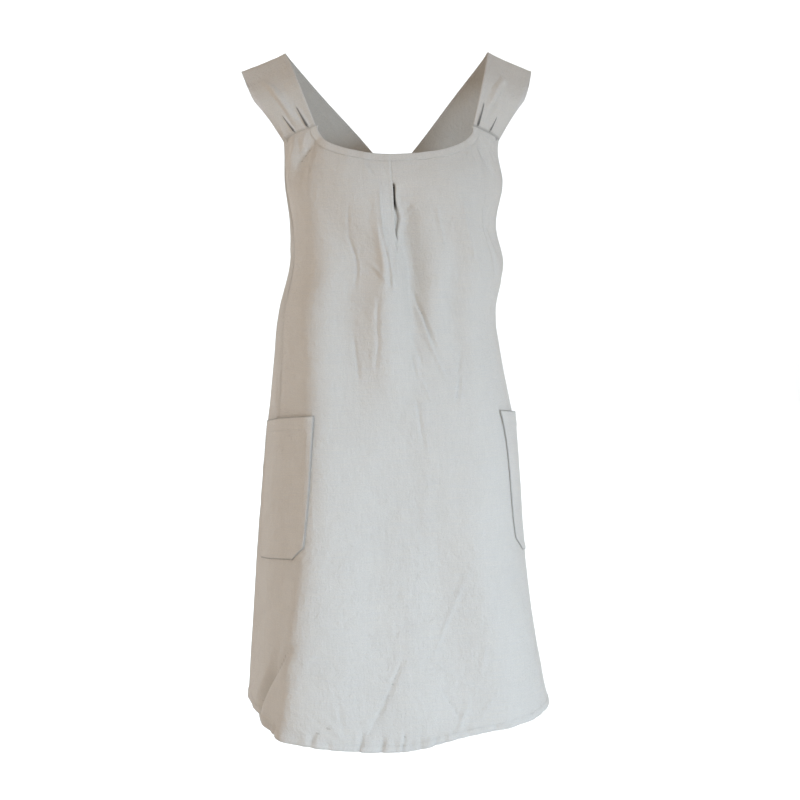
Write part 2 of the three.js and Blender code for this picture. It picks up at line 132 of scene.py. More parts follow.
# at, to (degrees), from, until (shares of LENGTH), width, height (shares of FOLD_WIDTH and FOLD_HEIGHT)
FOLDS = np.array([
    (-45, -40, 0.15, 0.54, 1.3, -1.7),
    (-12, -15, 0.2, 0.52, 1.3, 1.5),
    (6, 12, 0.18, 0.43, 0.7, -2.2),
    (36, 40, 0.25, 0.46, 0.8, -1.3),
    (-11, -16, 0.18, 0.33, 0.5, 1),
    (-14, -11, 0.2, 0.34, 0.4, -0.5),
    (36, 48, 0.18, 0.31, 0.6, 1.3),
    (54, 80, 0.2, 0.33, 0.6, -0.7),
    (-54, -64, 0.1, 0.2, 0.5, -0.9),
    (-64, -74, 0.11, 0.19, 0.4, 0.7),
    (55, 51, 0.1, 0.18, 0.4, 0.5),
    (60, 66, 0.1, 0.18, 0.4, 0.5),
    (25, 25, 0.2, 0.45, 0.7, 0.3),
    (10, 10, 0.42, 0.75, 0.8, 0.3),
    (23, 23, 0.42, 0.75, 0.8, 0.3),
    (46, 46, 0.3, 0.6, 0.8, 0.3),
    (-52, -62, 0.14, 1.15, 1.15, 2.4),
    (-25, -33, 0.5, 1.1, 2.4, -1.8),
    (12, 18, 0.5, 1.05, 2.3, -1.3),
    (38, 44, 0.6, 1.05, 1.1, 0.5),
    (-66, -92, 0.83, 1, 0.5, -1.1),
    (112, 118, 0.45, 1.1, 1.2, 1),
    (134, 142, 0.4, 1.1, 1.2, -0.9),
    (-112, -118, 0.5, 1.1, 1.2, 0.9),
    (-136, -144, 0.42, 1.1, 1.2, -0.9),
])
DOMES = np.array([(-34, 0.185, 1.0), (34, 0.185, 1.0)])

# out, fore, drop, middle, tilt, swing, width
STRAP_STATIONS = np.array([
    (0.716, -0.35, 0.053, -0.024, 24, -0.3, 0.9),
    (0.79, -0.1, 0.018, -0.024, 23, -0.12, 1),
    (0.817, 0.07, 0.004, -0.024, 23, 0.04, 1),
    (0.775, 0.24, 0.017, -0.01, 28, 0.1, 1),
    (0.577, 0.49, 0.071, 0.013, 38, 0.08, 1),
    (0.327, 0.63, 0.137, 0.043, 41, 0.02, 1),
    (0.07, 0.66, 0.206, 0.048, 37, 0, 1),
    (-0.155, 0.64, 0.27, 0.04, 32, 0, 1),
])
STRAP_WALL = 1.6
SHOULDER_LIFT = 4.0
CROSSING_CLEARANCE = 2.4
CROSSING_REACH = 0.4


def smooth(x, low, high):
    t = np.clip((np.asarray(x, float) - low) / (high - low), 0, 1)
    return t * t * (3 - 2 * t)


def table_at(table, x):
    """The columns of a table at x, on a smooth curve through its rows. The first column is the key."""
    x = np.asarray(x, float)
    keys = table[:, 0]
    i = np.clip(np.searchsorted(keys, x, side="left") - 1, 0, len(keys) - 2)
    before, start, end = table[np.maximum(i - 1, 0)], table[i], table[i + 1]
    after = table[np.minimum(i + 2, len(keys) - 1)]
    span = end[..., :1] - start[..., :1]
    t = np.clip((x[..., None] - start[..., :1]) / span, 0, 1)
    leave = (end - before) / (end[..., :1] - before[..., :1]) * span
    arrive = (after - start) / (after[..., :1] - start[..., :1]) * span
    cubic = 2 * (start - end) + leave + arrive
    square = 3 * (end - start) - 2 * leave - arrive
    return start + t * (leave + t * (square + t * cubic))


def upper_drop(degrees):
    a = np.abs(np.asarray(degrees, float))
    across = np.clip(a / NECK_ANGLE, 0, 1)
    neck = INNER_DROP + (NECK_DROP - INNER_DROP) * np.sqrt(1 - across ** 2)
    seam = INNER_DROP + (OUTER_DROP - INNER_DROP) * (a - NECK_ANGLE) / (ARM_ANGLE - NECK_ANGLE)
    fallen = table_at(ARMHOLE, np.clip(a, ARM_ANGLE, BACK_ANGLE))[..., 1]
    arm = OUTER_DROP + (BACK_DROP - OUTER_DROP) * fallen
    return np.where(a <= NECK_ANGLE, neck, np.where(a <= ARM_ANGLE, seam, arm))


def hem_drop(degrees):
    start, full, until, gone = HEM_LIFT_ANGLES
    lift = HEM_LIFT * smooth(degrees, start, full) * (1 - smooth(degrees, until, gone))
    return LENGTH - HEM_RISE * smooth(np.abs(degrees), *HEM_RISE_ANGLES) - lift


def relief(degrees, down, radius, slit=True):
    drop = down / LENGTH
    height = np.zeros_like(radius)
    for at, to, start, until, width, tall in FOLDS:
        along = (drop - start) / (until - start)
        inside = (along > 0) & (along < 1)
        centre = at + (to - at) * along
        aside = np.radians(degrees - centre) * radius / (width * FOLD_WIDTH)
        crest = tall * FOLD_HEIGHT * np.sin(np.pi * np.clip(along, 0, 1)) * np.exp(-aside ** 2)
        height += np.where(inside, crest, 0)
    for angle, at, tall in DOMES:
        aside = np.radians(degrees - angle) * radius / BUST_WIDTH
        above = (down - at * LENGTH) / BUST_WIDTH
        height += tall * BUST_HEIGHT * np.exp(-aside ** 2 - above ** 2)
    if slit:
        along = (down - SLIT_TOP_DROP) / SLIT_LENGTH
        aside = np.abs(np.radians(degrees) * radius) / SLIT_HALF_WIDTH
        open_ = np.where((along > 0) & (along < 1), np.sin(np.pi * np.clip(along, 0, 1)), 0)
        height -= SLIT_DEPTH * open_ * np.clip(1 - aside, 0, 1)
    return height


# Centre pleat: its opening and its heights in mm
PLEAT_GAP = 1.2
PLEAT_SPREAD = 5.2
PLEAT_DEPTH = 15.0
PLEAT_SHALLOW = 5.5
PLEAT_LIP = 1.0
PLEAT_FAR_LIP = 0.5
SEAM_GROOVE = 0.9
TAIL_GROOVE = 1.6
TAIL_LENGTH = 0.32  # how far the crease goes on below the pleat, as a share of its length


def centre_pleat(degrees, down, radius):
    """Height and sideways shift near the centre front, where a seam opens into a pleat."""
    u = np.radians(degrees) * radius
    along = (down - SLIT_TOP_DROP) / SLIT_LENGTH
    inside = (along > 0) & (along < 1)
    t = np.clip(along, 0, 1)
    gap = PLEAT_GAP * smooth(t, 0, 0.06) + PLEAT_SPREAD * np.sin(np.pi * smooth(t, 0.15, 1.0)) ** 1.5
    gap = np.where(inside, gap * smooth(t, 1.0, 0.9), 0)
    deep = PLEAT_DEPTH - (PLEAT_DEPTH - PLEAT_SHALLOW) * smooth(t, 0.22, 0.5)
    deep = np.where(inside, deep * smooth(t, 0, 0.05) * smooth(t, 1, 0.85), 0)
    height = -deep * smooth(u, 0.1, 0.5) * smooth(u, 3.6, 2.8)
    lip = np.where(inside, np.sin(np.pi * t) ** 0.5, 0)
    height += PLEAT_LIP * lip * np.exp(-((u + 0.9) / 1.5) ** 2)
    height += PLEAT_FAR_LIP * lip * np.exp(-((u - 4.6) / 1.3) ** 2)

    # The seam above the pleat and the crease below it, each a groove with a raised left side
    seam = smooth(down, upper_drop(0) - 2, upper_drop(0) + 3) * smooth(along, 0.06, -0.01)
    tail = smooth(along, 0.93, 1.0) * smooth(along, 1 + TAIL_LENGTH, 1.05)
    groove = SEAM_GROOVE * seam + TAIL_GROOVE * tail
    height += groove * (np.exp(-((u + 2.2) / 1.6) ** 2) / 2 - np.exp(-(u / 1.0) ** 2))

    shift = gap * np.clip(u / 3.2, 0, 1) * smooth(u, 40, 6)
    drift = SLIT_SHIFT * (1 + 0.35 * t) * smooth(along, 2.4, 1.2)
    shift += (drift + PLEAT_GAP * lip * np.exp(-(u / 1.1) ** 2)) * smooth(np.abs(u), 60, 4)
    return height, shift


def crease_field(count, seed, size, low, high, length, width, height):
    """Random short creases in the cloth's own plane: rows of u, v, cos, sin, length, width, height."""
    rng = np.random.default_rng(seed)
    angle = rng.normal(math.radians(68), 0.55, count) * rng.choice([-1, 1], count)
    return np.stack([
        rng.uniform(-size, size, count), rng.uniform(low, high, count), np.cos(angle), np.sin(angle),
        rng.uniform(*length, count), rng.uniform(*width, count),
        rng.uniform(*height, count) * rng.choice([-1, 1], count),
    ], 1)


CREASES = np.concatenate([
    crease_field(170, 11, 620, 90, 940, (26, 75), (5, 11), (0.45, 1.25)),
    crease_field(420, 12, 620, 90, 940, (12, 36), (2.8, 5.2), (0.2, 0.55)),
])


def crinkle(u, v):
    """The random creases' height, each a ridge or valley with a shallow rebound beside it."""
    height = np.zeros_like(u)
    for cu, cv, c, s, length, width, tall in CREASES:
        near = (np.abs(u - cu) < 2.2 * length) & (np.abs(v - cv) < 2.2 * length)
        if not near.any():
            continue
        du, dv = u[near] - cu, v[near] - cv
        along = (du * c + dv * s) / length
        aside = (dv * c - du * s) / width
        rebound = CREASE_REBOUND * np.exp(-(aside / REBOUND_WIDTH) ** 2)
        height[near] += tall * np.exp(-along ** 2) * (np.exp(-aside ** 2) - rebound)
    return height


# Creases and pinches seen on the front: from degrees and drop share, to degrees and drop share, width and
# height in mm, below zero for a valley.
CREASE_LINES = np.array([
    # bib, beside the centre pleat
    (-10, 0.19, -10, 0.255, 3, 2), (-10, 0.255, -8, 0.33, 3, 2.6), (-30, 0.295, -11, 0.327, 2.5, 2),
    (-34, 0.215, -39, 0.26, 2.5, -1.6), (-39, 0.26, -39, 0.325, 2.5, -2.4), (-2, 0.265, -4, 0.31, 3, 1.6),
    (-21, 0.15, -13, 0.17, 2.4, -1.4), (5, 0.23, 16, 0.21, 2.4, 1.4), (5, 0.215, 11, 0.2, 2.4, 1.2),
    (25, 0.215, 29, 0.275, 2.6, 1.6), (39, 0.21, 45, 0.275, 2.6, 2.8), (45, 0.275, 54, 0.325, 2.6, 2.2),
    (57, 0.22, 62, 0.31, 4.5, -2.4),
    # under the strap ends
    (48, 0.12, 48, 0.16, 3, 1.8), (54, 0.125, 62, 0.165, 3, -2.4), (60, 0.12, 72, 0.145, 2.5, 1.8),
    (-58, 0.13, -65, 0.155, 3.5, -2.4),
    # waist and hips
    (12, 0.34, 16, 0.365, 2.6, -2.2), (16, 0.36, 23, 0.41, 3, -3.6), (-20, 0.345, -21, 0.41, 5, -1.8),
    (-21, 0.41, -25, 0.445, 4, -1.8), (-37, 0.4, -36, 0.465, 3, -1.6), (18, 0.4, 28, 0.46, 2.4, 1.5),
    (4, 0.425, 6, 0.46, 2.4, -1.5), (7, 0.4, 12, 0.44, 5, -1.6), (9, 0.46, 15, 0.49, 2.4, 1.2),
    (41, 0.42, 36, 0.455, 2.4, -1.7), (37, 0.46, 33, 0.495, 2.4, -2.4), (4, 0.495, 7, 0.555, 5, -1.4),
    (51, 0.435, 52, 0.53, 5, -1.6),
    # skirt
    (35, 0.735, 10, 0.855, 2.4, 1.5), (-100, 0.83, -65, 0.785, 10, -1.8), (-88, 0.955, -61, 0.85, 7, -6),
    (6, 0.87, 39, 0.93, 2.4, 1.5), (39, 0.93, 52, 0.965, 2.4, 1.3), (-47, 0.855, -17, 0.9, 2.4, 1.1),
    (-13, 0.87, -31, 0.975, 4, -1.8), (26, 0.93, 17, 0.985, 2.4, 1.6), (38, 0.92, 30, 0.96, 2.4, 1.4),
    (11, 0.91, 20, 0.955, 2.4, -1.4), (-45, 0.905, -40, 0.975, 2.5, -1.4), (37, 0.845, 32, 0.895, 2.4, 1.1),
    (50, 0.795, 52, 0.825, 2.4, -1.3),
    # pinches at the hem
    (-49, 0.945, -41, 0.975, 2.6, 1.6), (-53, 0.975, -45, 0.96, 2.6, -1.3),
    (36, 0.97, 47, 0.965, 2.6, -2.2),
    (-51, 0.97, -52, 0.99, 3, -2.4), (-46, 0.98, -46, 0.995, 3, -2.2), (-33, 0.97, -35, 1, 3, -3),
    (-23, 0.98, -25, 1, 3, -2.4), (-12, 0.975, -14, 1, 3.2, -2.8), (7, 0.975, 5, 0.995, 2.8, -2.2),
    (19, 0.975, 17, 0.99, 2.8, -1.6), (30, 0.97, 29, 0.985, 2.8, -2), (36, 0.965, 35, 0.98, 3, -2.4),
    (-66, 0.965, -67, 0.985, 2.8, -2),
])


def line_creases(degrees, down):
    """Single creases and pinched folds, each along a short line in the cloth."""
    x = np.radians(degrees) * CREASE_RADIUS
    height = np.zeros_like(x)
    for d0, v0, d1, v1, width, tall in CREASE_LINES:
        start = np.array([math.radians(d0) * CREASE_RADIUS, v0 * LENGTH])
        end = np.array([math.radians(d1) * CREASE_RADIUS, v1 * LENGTH])
        run = end - start
        size = math.hypot(*run)
        along = ((x - start[0]) * run[0] + (down - start[1]) * run[1]) / size / size
        aside = ((x - start[0]) * run[1] - (down - start[1]) * run[0]) / size / width
        near = (np.abs(aside) < 4) & (along > -0.25) & (along < 1.25)
        if not near.any():
            continue
        t, a = along[near], np.abs(aside[near])
        ends = smooth(t, -0.22, 0.25) * smooth(t, 1.22, 0.75)
        height[near] += CREASE_STRENGTH * tall * ends * (np.exp(-a ** 1.5) - 0.25 * np.exp(-(a / 2.4) ** 2))
    return height


def puckers(u, seed, pitch, count=40):
    """Uneven waves along a seam, between -1 and 1."""
    rng = np.random.default_rng(seed)
    total = np.zeros_like(u)
    for _ in range(count):
        total += np.sin(2 * np.pi * u / (pitch * rng.uniform(0.6, 1.9)) + rng.uniform(0, 6.3))
    return total / math.sqrt(count / 2) / 1.8


# Waves and gathers beside the sewn edges, heights in mm
HEM_WAVE = 2.0
HEM_PUCKER = 0.9
SIDE_CALM = 0.5
NECK_PUCKER = 0.45
JOIN_GATHER = 1.2


def edge_relief(degrees, down, u):
    """Small gathers beside the sewn edges: hem, neckline and strap seams."""
    top = np.clip(down - upper_drop(degrees), 0, None)
    low = np.clip(hem_drop(degrees) - down, 0, None)
    a = np.abs(degrees)
    height = HEM_WAVE * puckers(u, 21, 34) * np.exp(-(low / 18) ** 2)
    height += HEM_PUCKER * puckers(u, 22, 16) * np.exp(-((low - HEM_TURN + 1) / 7) ** 2)
    height *= 1 - SIDE_CALM * smooth(a, 60, 85)
    height += NECK_PUCKER * puckers(u, 23, 22) * np.exp(-(top / 26) ** 2) * smooth(a, 70, 52)
    gather = smooth(a, 50, 58) * smooth(a, 92, 80)
    gather = gather * np.exp(-(top / 42) ** 2) * (1 - np.exp(-(top / 7) ** 2))
    return height + JOIN_GATHER * puckers(u, 24, 19) * gather


def cloth(degrees, down, detail=True):
    """Points of the cloth's middle surface, by their angles from the centre front and their drops."""
    degrees, down = np.broadcast_arrays(np.asarray(degrees, float), np.asarray(down, float))
    row = table_at(SECTIONS, down / LENGTH)
    half, square = row[..., 1] * HALF_BREADTH, row[..., 4]
    angle = np.radians(degrees)
    depth = np.where(np.cos(angle) > 0, row[..., 2], row[..., 3]) * HALF_DEPTH
    across, ahead = np.abs(np.sin(angle) / half), np.abs(np.cos(angle) / depth)
    radius = (across ** square + ahead ** square) ** (-1 / square)
    reach = radius + relief(degrees, down, radius, slit=not detail)
    sideways = 0
    if detail:
        u = angle * (CHEST_RADIUS + RADIUS_GROWTH * down)
        height, sideways = centre_pleat(degrees, down, radius)
        calm = 1 - FRONT_CALM * smooth(np.abs(degrees), 70, 45)
        reach = reach + crinkle(u, down) * calm + line_creases(degrees, down)
        reach = reach + edge_relief(degrees, down, u) + height
    fore = reach * np.cos(angle)
    taper = 1 - row[..., 7] * np.clip(fore / depth, 0, None) ** TAPER_POWER
    aside = reach * np.sin(angle) * taper + sideways
    turn = np.radians(row[..., 6])
    return np.stack([
        aside * np.cos(turn) + fore * np.sin(turn) + row[..., 5] * HALF_BREADTH,
        aside * np.sin(turn) - fore * np.cos(turn), -down], -1)


def unit(v):
    return v / np.maximum(np.linalg.norm(v, axis=-1, keepdims=True), 1e-9)


def cloth_normal(degrees, down):
    side = cloth(degrees + 0.8, down) - cloth(degrees - 0.8, down)
    up = cloth(degrees, down - 2.5) - cloth(degrees, down + 2.5)
    return unit(np.cross(side, up))


def grid_normals(grid):
    right = np.empty_like(grid)
    right[:, 1:-1] = grid[:, 2:] - grid[:, :-2]
    right[:, 0], right[:, -1] = grid[:, 1] - grid[:, 0], grid[:, -1] - grid[:, -2]
    up = np.empty_like(grid)
    up[1:-1] = grid[:-2] - grid[2:]
    up[0], up[-1] = grid[0] - grid[1], grid[-2] - grid[-1]
    return unit(np.cross(right, up))


def fade(t):
    return (1 - smooth(t, 0, SEAM_FADE)) ** 2


# Meshes

def add_object(name, mesh, material):
    piece = bpy.data.objects.new(name, mesh)
    bpy.context.scene.collection.objects.link(piece)
    mesh.materials.append(material)
    return piece


def sheet(name, grid, wall, uv, wear, material, deep=None, skip=1):
    """A closed sheet round a grid of middle points, with the cloth's own plane as its UV map.

    Its wear colours hold the worn edges, painted shade in pleats, along seams and round pockets' rims, and
    painted shade on the cloth's wrong side.
    The layer behind has every row, or every second one where skip is 2.
    """
    rows, columns = grid.shape[:2]
    normals = grid_normals(grid)
    points = np.concatenate([
        (grid + normals * wall[..., None] / 2).reshape(-1, 3),
        (grid - normals * wall[..., None] / 2)[::skip].reshape(-1, 3)])
    index = np.arange(rows * columns).reshape(rows, columns)
    back = index.size + np.arange(len(index[::skip]) * columns).reshape(-1, columns)
    faces = []
    for layer, flip in ((index, False), (back, True)):
        a, b, c, d = layer[:-1, :-1], layer[1:, :-1], layer[1:, 1:], layer[:-1, 1:]
        order = [a, d, c, b] if flip else [a, b, c, d]
        faces += np.stack(order, -1).reshape(-1, 4).tolist()
    for line, under, flip in ((index[0], back[0], False), (index[-1], back[-1], True)):
        rim = [line[:-1], line[1:], under[1:], under[:-1]]
        faces += np.stack(rim[::-1] if flip else rim, -1).tolist()
    for column, flip in ((0, True), (-1, False)):
        for k in range(len(back) - 1):
            rim = index[k * skip:(k + 1) * skip + 1, column].tolist()
            rim += [back[k + 1, column], back[k, column]]
            faces.append(rim[::-1] if flip else rim)
    mesh = bpy.data.meshes.new(name)
    mesh.from_pydata((points * MM).tolist(), [], faces)
    uv_all = np.concatenate([uv.reshape(-1, 2), uv[::skip].reshape(-1, 2)]) * MM
    # deep is painted shade: darkness put where pleats, seams and rims lie in shadow
    deep = np.zeros_like(wear) if deep is None else deep
    wear_all = np.concatenate([wear.reshape(-1), wear[::skip].reshape(-1)])
    painted_shade_all = np.concatenate([deep.reshape(-1), np.zeros(deep[::skip].size)])
    # the layer behind, whose colour gets painted shade
    inner_shade_mask = np.arange(len(wear_all)) >= wear.size
    layer = mesh.uv_layers.new(name="cloth")
    loops = np.empty(len(mesh.loops), int)
    mesh.loops.foreach_get("vertex_index", loops)
    layer.data.foreach_set("uv", uv_all[loops].ravel())
    colour = mesh.color_attributes.new("wear", "FLOAT_COLOR", "POINT")
    # red is real wear at the edges, green is painted shade in pleats and seams, blue is painted shade on the
    # wrong side
    marks = np.stack([wear_all, painted_shade_all, inner_shade_mask, np.ones_like(wear_all)], -1)
    colour.data.foreach_set("color", marks.ravel())
    mesh.polygons.foreach_set("use_smooth", [True] * len(mesh.polygons))
    mesh.validate()
    piece = add_object(name, mesh, material)
    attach(piece, "root")
    return piece


STITCHES = []
SEAM_STITCH = {"pitch": 2.9, "length": 2.1}


def stitch_line(points, normals, pitch=3.2, length=2.3, thick=0.34, lift=0.1):
    """Small raised stitches along a line of surface points."""
    walked = np.concatenate([[0], np.cumsum(np.linalg.norm(np.diff(points, axis=0), axis=1))])
    starts = np.arange(pitch, walked[-1] - pitch, pitch)
    for s in starts:
        ends = [np.array([np.interp(x, walked, points[:, k]) for k in range(3)]) for x in (s, s + length)]
        normal = unit(np.array([np.interp(s, walked, normals[:, k]) for k in range(3)]))
        STITCHES.append((ends[0] + normal * lift, ends[1] + normal * lift, normal, thick))


def build_stitches(material):
    points, faces = [], []
    for start, end, normal, thick in STITCHES:
        along = unit(end - start)
        side = np.cross(along, normal)
        base = len(points)
        inset = along * 0.35
        points += [start, end]
        for middle in (start + inset, end - inset):
            points += [middle + way * thick for way in (normal, side, -normal, -side)]
        for k in range(4):
            n = (k + 1) % 4
            faces.append((base, base + 2 + n, base + 2 + k))
            faces.append((base + 1, base + 6 + k, base + 6 + n))
            faces.append((base + 2 + k, base + 2 + n, base + 6 + n, base + 6 + k))
    mesh = bpy.data.meshes.new("stitching")
    mesh.from_pydata((np.array(points) * MM).tolist(), [], faces)
    mesh.polygons.foreach_set("use_smooth", [True] * len(mesh.polygons))
    piece = add_object("stitching", mesh, material)
    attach(piece, "root")
    return piece


# Materials

class Nodes:
    """Short names for building a node tree."""

    def __init__(self, material):
        material.use_nodes = True
        self.tree = material.node_tree
        self.tree.nodes.clear()

    def add(self, kind, inputs=None, **settings):
        node = self.tree.nodes.new(kind)
        for key, value in settings.items():
            setattr(node, key, value)
        for key, value in (inputs or {}).items():
            if hasattr(value, "is_output"):
                self.tree.links.new(value, node.inputs[key])
            else:
                node.inputs[key].default_value = value
        return node

    def math(self, operation, a, b=0.0, clamp=False):
        return self.add("ShaderNodeMath", {0: a, 1: b}, operation=operation, use_clamp=clamp).outputs[0]

    def noise(self, vector, scale, detail=2.0, rough=0.5, distortion=0.0):
        return self.add("ShaderNodeTexNoise", {"Vector": vector, "Scale": scale, "Detail": detail,
                        "Roughness": rough, "Distortion": distortion}).outputs["Fac"]

    def stretch(self, vector, x, y):
        return self.add("ShaderNodeMapping", {"Vector": vector, "Scale": (x, y, 1)}).outputs[0]

    def spread(self, value, low, high):
        return self.add("ShaderNodeMapRange", {
            "Value": value, "From Min": 0.25, "From Max": 0.75, "To Min": low, "To Max": high}).outputs[0]


TONE = (0.655, 0.622, 0.575)
THREAD_WIDTH = 0.95
# How much the deep mark darkens: painted shade in pleats, along strap seams and round pocket rims
PAINTED_PLEAT_AND_SEAM_SHADE = 0.82
# Painted shade: the cloth's wrong side, on the inner faces of straps and body, is darker by this share
WRONG_SIDE_PAINTED_SHADE = 0.2
WRONG_SIDE_PAINTED_WARMTH = (0.02, 0.05)  # painted warm shade on the cloth's wrong side: less green and blue there


def linen(name, tone, depth=1.0):
    """Washed plain weave: warp and weft threads, slubs, uneven dye, fine crumpling, and painted shade in the
    crumples' hollows, in pleats and seams and on the wrong side.
    """
    material = bpy.data.materials.new(name)
    n = Nodes(material)
    uv = n.add("ShaderNodeUVMap", uv_map="cloth").outputs[0]
    place = n.add("ShaderNodeSeparateXYZ", {0: uv})
    k = math.pi / (THREAD_WIDTH * MM)
    wander = n.math("MULTIPLY", n.noise(uv, 55, 2), 2.4)
    warp, weft = (
        n.math("ABSOLUTE", n.math("SINE", n.math("ADD", n.math("MULTIPLY", place.outputs[axis], k), wander)))
        for axis in (0, 1))
    over = n.add("ShaderNodeTexChecker", {
        "Vector": uv, "Scale": 1 / (THREAD_WIDTH * MM), "Color1": (1, 1, 1, 1),
        "Color2": (0, 0, 0, 1)}).outputs["Fac"]
    weave = n.add("ShaderNodeMix", {"Factor": over, "A": warp, "B": weft}, data_type="FLOAT").outputs[0]
    slub_warp = n.noise(n.stretch(uv, 620, 26), 1.0, 2, 0.6)
    slub_weft = n.noise(n.stretch(uv, 24, 560), 1.0, 2, 0.6)
    slub = n.math("ADD", slub_warp, slub_weft)
    crumple = n.noise(n.stretch(uv, 1.0, 0.55), 120, 4, 0.6, 0.15)
    dimple = n.noise(n.stretch(uv, 1.0, 0.8), 330, 3, 0.6, 0.0)
    soft = n.noise(uv, 26, 3, 0.55, 0.4)
    cloud = n.noise(uv, 9, 3, 0.5)
    marks = n.add("ShaderNodeVertexColor", layer_name="wear").outputs[0]
    wear, deep, inner_shade_mask = n.add("ShaderNodeSeparateColor", {0: marks}).outputs

    def less(mark, share):
        """1 where the mark is 0, and less by this share where it is 1."""
        return n.math("SUBTRACT", 1.0, n.math("MULTIPLY", mark, share))

    # Tone varies with slubs, clouds, fine noise and the weave. The crumple factor is painted shade, darker
    # in the crumples' hollows and lighter on their crests. The last two factors are painted shade in pleats
    # and seams and on the wrong side.
    shade = n.spread(slub_warp, 0.98, 1.02)
    for factor in (
            n.spread(slub_weft, 0.98, 1.02), n.spread(cloud, 0.98, 1.02),
            n.spread(n.noise(uv, 620, 2, 0.6), 0.93, 1.07),
            n.math("ADD", n.math("MULTIPLY", weave, 0.08), 0.94), n.spread(crumple, 0.985, 1.015),
            less(deep, PAINTED_PLEAT_AND_SEAM_SHADE), less(inner_shade_mask, WRONG_SIDE_PAINTED_SHADE)):
        shade = n.math("MULTIPLY", shade, factor)
    tint = n.add("ShaderNodeMix", {"Factor": n.spread(slub_weft, 0.0, 1.0), "A": (*tone, 1),
                 "B": (tone[0] * 1.015, tone[1] * 0.995, tone[2] * 0.955, 1)}, data_type="RGBA")
    worn = (tone[0] * 1.08, tone[1] * 1.08, tone[2] * 1.09, 1)
    tint = n.add("ShaderNodeMix", {
        "Factor": n.math("MULTIPLY", wear, 0.35), "A": tint.outputs[2], "B": worn}, data_type="RGBA")
    colour = n.add("ShaderNodeMix", {
        "Factor": 1.0, "A": tint.outputs[2], "B": (1, 1, 1, 1)}, data_type="RGBA", blend_type="MULTIPLY")
    # Painted warm shade on the wrong side: less green and blue there
    warm_painted_shade = [n.math("MULTIPLY", shade, less(inner_shade_mask, share)) for share in WRONG_SIDE_PAINTED_WARMTH]
    grey = n.add("ShaderNodeCombineColor", {0: shade, 1: warm_painted_shade[0], 2: warm_painted_shade[1]}).outputs[0]
    n.tree.links.new(grey, colour.inputs["B"])

    # Height, distance in mm and strength of each layer of relief, from the widest to the threads
    bump = None
    for height, distance, strength in (
            (soft, 3.6 * depth, 0.9), (crumple, 1.9 * depth, 0.8), (dimple, 1.15 * depth, 0.8),
            (slub, 0.12, 0.6), (weave, 0.22, 0.6)):
        under = {"Normal": bump.outputs[0]} if bump else {}
        bump = n.add("ShaderNodeBump", {
            "Height": height, "Distance": distance * MM, "Strength": strength, **under})
    rough = n.spread(slub, 0.86, 0.98)
    shader = n.add("ShaderNodeBsdfPrincipled", {"Base Color": colour.outputs[2], "Roughness": rough,
                   "Normal": bump.outputs[0], "Sheen Weight": 0.12, "Sheen Roughness": 0.5,
                   "Specular IOR Level": 0.25})
    n.add("ShaderNodeOutputMaterial", {"Surface": shader.outputs[0]})
    return material


def thread(name, tone):
    material = bpy.data.materials.new(name)
    n = Nodes(material)
    place = n.add("ShaderNodeTexCoord").outputs["Object"]
    ply = n.noise(place, 2600, 2)
    colour = n.add("ShaderNodeMix", {"Factor": ply, "A": (*[t * 0.86 for t in tone], 1), "B": (*tone, 1)},
                   data_type="RGBA")
    bump = n.add("ShaderNodeBump", {"Height": ply, "Distance": 0.1 * MM, "Strength": 0.5})
    shader = n.add("ShaderNodeBsdfPrincipled", {"Base Color": colour.outputs[2], "Roughness": 0.7,
                   "Normal": bump.outputs[0]})
    n.add("ShaderNodeOutputMaterial", {"Surface": shader.outputs[0]})
    return material


CLOTH_LINEN = linen("linen_cloth", TONE)
STRAP_LINEN = linen("linen_straps", (TONE[0] * 0.99, TONE[1] * 0.985, TONE[2] * 0.98))
BAND_LINEN = linen("linen_band", TONE, depth=0.5)
THREAD = thread("sewing_thread", (0.70, 0.67, 0.63))


# Main cloth

def even_angles(start, stop, step):
    """Angles evenly spaced along the cloth's upper edge, the first left out."""
    fine = np.arange(start, stop, 0.05)
    radius = np.linalg.norm(cloth(fine, upper_drop(fine), detail=False)[:, :2], axis=1)
    rise = np.diff(upper_drop(np.append(fine, stop))) / 2
    walked = np.cumsum(np.hypot(math.radians(0.05) * radius, rise))
    count = max(int(round(walked[-1] / step)), 1)
    return np.append(np.interp(walked[-1] * np.arange(1, count) / count, walked, fine), stop)


SLIT_COLUMNS_AT = np.array([0.35, 0.8, 1.4, 2.1, 2.9, 3.8, 4.8, 6.2, 8.0])  # mm from the pleat's middle
BODY_ROWS = 241
ROW_CROWDING = 0.2
FRONT_STEP, SEAM_STEP, SIDE_STEP = 2.0, 1.9, 5.5  # mm between columns


def body_columns():
    """Angles of the body's columns at its upper edge, and how far those beside the pleat reach."""
    radius = np.linalg.norm(cloth(3.0, SLIT_TOP_DROP + SLIT_LENGTH / 2, detail=False)[:2])
    near = np.degrees(SLIT_COLUMNS_AT / radius)
    half = np.concatenate([
        near, even_angles(near[-1], NECK_ANGLE, FRONT_STEP), even_angles(NECK_ANGLE, ARM_ANGLE, SEAM_STEP),
        even_angles(ARM_ANGLE, BACK_ANGLE, SIDE_STEP)])
    return np.concatenate([-half[::-1], [0], half]), near[-1]


def walk_across(grid, degrees, beside_pleat):
    """Distance along each row from the centre front, in the cloth's plane and past the pleat's depth."""
    steps = np.linalg.norm(np.diff(grid, axis=1), axis=2)
    plain_steps = np.radians(np.diff(degrees, axis=1)) * np.linalg.norm(grid[:, 1:, :2], axis=2)
    steps = np.where(beside_pleat, plain_steps, steps)
    walked = np.concatenate([np.zeros((len(grid), 1)), np.cumsum(steps, axis=1)], axis=1)
    return walked - walked[:, [grid.shape[1] // 2]]


